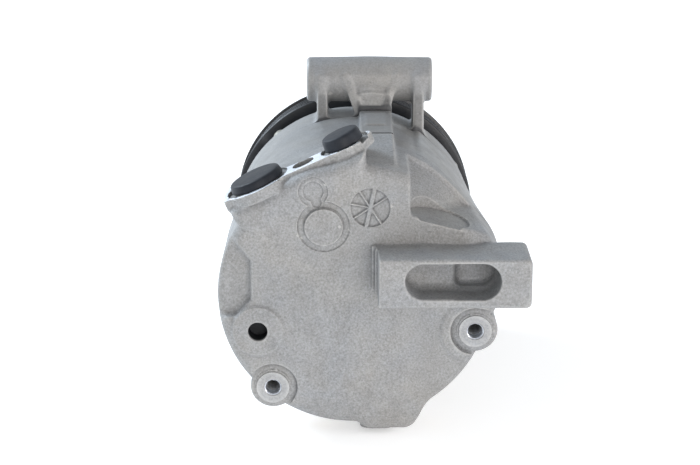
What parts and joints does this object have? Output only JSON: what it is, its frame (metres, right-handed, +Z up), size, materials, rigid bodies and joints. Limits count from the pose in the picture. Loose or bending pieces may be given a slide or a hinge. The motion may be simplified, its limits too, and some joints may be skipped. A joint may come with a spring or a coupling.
{
  "type": "automotive air-conditioning compressor",
  "caption": "Vehicle air-conditioning compressor: cast drum housing with slotted lug and top mounting tube, capped gas ports, belt pulley, clutch and wobble-plate pistons inside.",
  "frame": {"origin": "on the shaft axis at the flat rear face of the rear head", "axes": "+Y along the shaft towards the pulley and clutch, +X towards the slotted lug, +Z up towards the mounting tube"},
  "size_m": [0.1347, 0.195, 0.1515],
  "materials": {
    "cast_aluminium": "sand-cast, matte, fine grain",
    "machined_aluminium": "machined, bright",
    "ground_steel": "ground",
    "zinc_steel": "zinc plated, satin",
    "gasket_steel": "dark spring steel",
    "brass": "turned",
    "black_rubber": "moulded, soft sheen",
    "black_plastic": "moulded",
    "black_paint": "satin black coating on steel"
  },
  "bodies": {
    "housing": {"rear_head": "cast_aluminium", "middle_housing": "cast_aluminium", "front_housing": "cast_aluminium", "retainer_gasket": "gasket_steel", "discharge_reed_disc": "gasket_steel", "valve_plate": "ground_steel", "suction_reed_disc": "gasket_steel", "cylinder_block": "machined_aluminium", "rear_seal_ring": "black_rubber", "front_seal_ring": "black_rubber", "through_bolt_1": "zinc_steel", "through_bolt_2": "zinc_steel", "through_bolt_3": "zinc_steel", "through_bolt_4": "zinc_steel", "through_bolt_5": "zinc_steel", "through_bolt_6": "zinc_steel", "through_bolt_7": "zinc_steel", "rear_thrust_bearing": "ground_steel", "rear_radial_bearing": "ground_steel", "front_thrust_bearing": "ground_steel", "front_radial_bearing": "ground_steel", "shaft_seal": "black_rubber", "guide_pin": "ground_steel", "bearing_inner_race": "ground_steel", "pulley_snap_ring": "gasket_steel", "field_coil": "black_paint", "coil_connector": "black_plastic", "control_valve_body": "brass"},
    "pulley": {"belt_pulley": "black_paint", "bearing_outer_race": "ground_steel"},
    "shaft": {"drive_shaft": "ground_steel", "rotor_plate": "ground_steel", "clutch_hub": "ground_steel", "spring_plate": "gasket_steel", "hub_nut": "zinc_steel"},
    "armature": {"armature_plate": "black_paint"},
    "sleeve": {"slide_sleeve": "ground_steel"},
    "wobble": {"wobble_plate": "machined_aluminium", "wobble_bearing": "ground_steel"},
    "drive": {"drive_plate": "ground_steel"},
    "valve_spool": {"control_valve_spool": "ground_steel"},
    "suction_cap": {"suction_port_cap": "black_rubber"},
    "discharge_cap": {"discharge_port_cap": "black_rubber"},
    "piston_1_body": {"piston_1": "machined_aluminium", "piston_rod_1": "ground_steel"},
    "piston_2_body": {"piston_2": "machined_aluminium", "piston_rod_2": "ground_steel"},
    "piston_3_body": {"piston_3": "machined_aluminium", "piston_rod_3": "ground_steel"},
    "piston_4_body": {"piston_4": "machined_aluminium", "piston_rod_4": "ground_steel"},
    "piston_5_body": {"piston_5": "machined_aluminium", "piston_rod_5": "ground_steel"},
    "piston_6_body": {"piston_6": "machined_aluminium", "piston_rod_6": "ground_steel"},
    "piston_7_body": {"piston_7": "machined_aluminium", "piston_rod_7": "ground_steel"}
  },
  "joints": [
    {"name": "pulley_spin", "type": "hinge", "parent": "housing", "child": "pulley", "pos_m": [0, 0.144, 0], "axis": [0, 1, 0], "continuous": true},
    {"name": "shaft_spin", "type": "hinge", "parent": "housing", "child": "shaft", "pos_m": [0, 0.11, 0], "axis": [0, 1, 0], "continuous": true},
    {"name": "armature_pull_in", "type": "slide", "parent": "shaft", "child": "armature", "axis": [0, -1, 0], "range_m": [0, 0.0005], "stiffness_N_per_m": 2000},
    {"name": "displacement", "type": "slide", "parent": "housing", "child": "sleeve", "axis": [0, 1, 0], "range_m": [0, 0.007]},
    {"name": "wobble_tilt", "type": "hinge", "parent": "sleeve", "child": "wobble", "pos_m": [0, 0.087, 0], "axis": [1, 0, 0], "range_deg": [0, 11.8]},
    {"name": "drive_plate_spin", "type": "hinge", "parent": "wobble", "child": "drive", "pos_m": [0, 0.087, 0], "axis": [0, 1, 0], "continuous": true},
    {"name": "piston_1_slide", "type": "slide", "parent": "housing", "child": "piston_1_body", "axis": [0, 1, 0], "range_m": [0, 0.000247]},
    {"name": "piston_2_slide", "type": "slide", "parent": "housing", "child": "piston_2_body", "axis": [0, 1, 0], "range_m": [0, 0.00423]},
    {"name": "piston_3_slide", "type": "slide", "parent": "housing", "child": "piston_3_body", "axis": [0, 1, 0], "range_m": [0, 0.0103]},
    {"name": "piston_4_slide", "type": "slide", "parent": "housing", "child": "piston_4_body", "axis": [0, 1, 0], "range_m": [0, 0.01388]},
    {"name": "piston_5_slide", "type": "slide", "parent": "housing", "child": "piston_5_body", "axis": [0, 1, 0], "range_m": [0, 0.01229]},
    {"name": "piston_6_slide", "type": "slide", "parent": "housing", "child": "piston_6_body", "axis": [0, 1, 0], "range_m": [0, 0.00671]},
    {"name": "piston_7_slide", "type": "slide", "parent": "housing", "child": "piston_7_body", "axis": [0, 1, 0], "range_m": [0, 0.00135]},
    {"name": "control_valve_slide", "type": "slide", "parent": "housing", "child": "valve_spool", "axis": [-1, 0, 0], "range_m": [0, 0.0015], "stiffness_N_per_m": 500},
    {"name": "suction_cap_pull", "type": "slide", "parent": "housing", "child": "suction_cap", "axis": [-0.4131, 0, 0.9107], "range_m": [0, 0.02]},
    {"name": "discharge_cap_pull", "type": "slide", "parent": "housing", "child": "discharge_cap", "axis": [-0.4131, 0, 0.9107], "range_m": [0, 0.02]}
  ],
  "couplings": [
    {"joint": "wobble_tilt", "follows": "displacement", "rad_per_m": 29.412},
    {"joint": "drive_plate_spin", "follows": "shaft_spin", "ratio": 1},
    {"joint": "piston_1_slide", "follows": "displacement", "ratio": 0.035},
    {"joint": "piston_2_slide", "follows": "displacement", "ratio": 0.6035},
    {"joint": "piston_3_slide", "follows": "displacement", "ratio": 1.4706},
    {"joint": "piston_4_slide", "follows": "displacement", "ratio": 1.9833},
    {"joint": "piston_5_slide", "follows": "displacement", "ratio": 1.7555},
    {"joint": "piston_6_slide", "follows": "displacement", "ratio": 0.9589},
    {"joint": "piston_7_slide", "follows": "displacement", "ratio": 0.1932}
  ]
}
